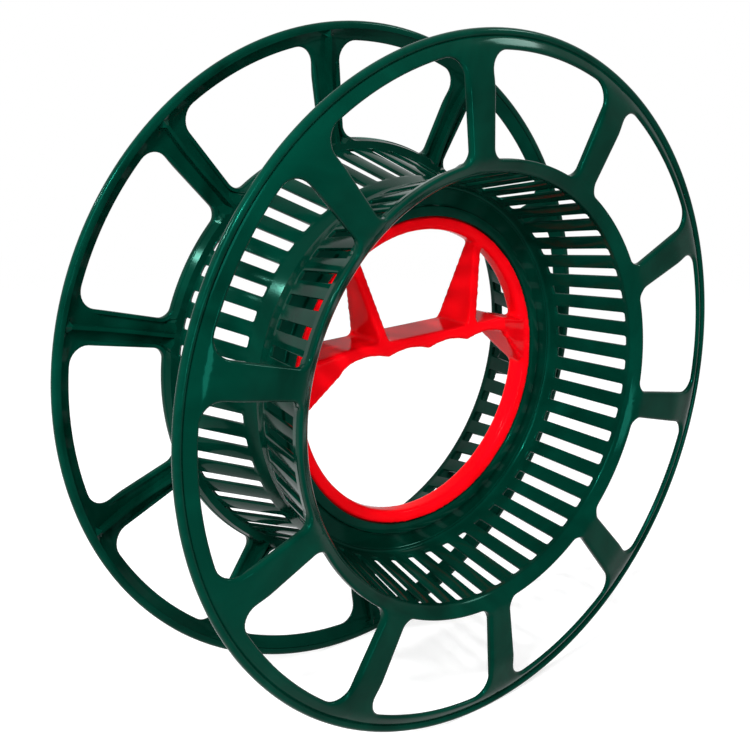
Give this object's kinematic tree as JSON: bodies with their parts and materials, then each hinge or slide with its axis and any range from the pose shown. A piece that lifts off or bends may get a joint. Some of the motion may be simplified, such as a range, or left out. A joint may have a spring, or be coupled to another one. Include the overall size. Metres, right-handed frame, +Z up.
{
  "type": "plastic wire spool with turning carrying grip",
  "caption": "Empty dark green plastic basket spool for wire, with ten-spoke flanges, a slotted waisted drum and a red carrying grip in its core.",
  "frame": {"origin": "middle of the spool on its axis, where the two halves meet", "axes": "+Y along the spool's axis towards the rear flange, +X to the right, +Z up"},
  "size_m": [0.3, 0.103, 0.3],
  "materials": {
    "green_plastic": "gloss",
    "red_plastic": "gloss"
  },
  "bodies": {
    "spool": {"front_half": "green_plastic", "rear_half": "green_plastic"},
    "grip": {"grip_ring": "red_plastic"}
  },
  "joints": [
    {"name": "grip_turn", "type": "hinge", "parent": "spool", "child": "grip", "pos_m": [0, 0, 0], "axis": [0, 1, 0], "continuous": true}
  ]
}
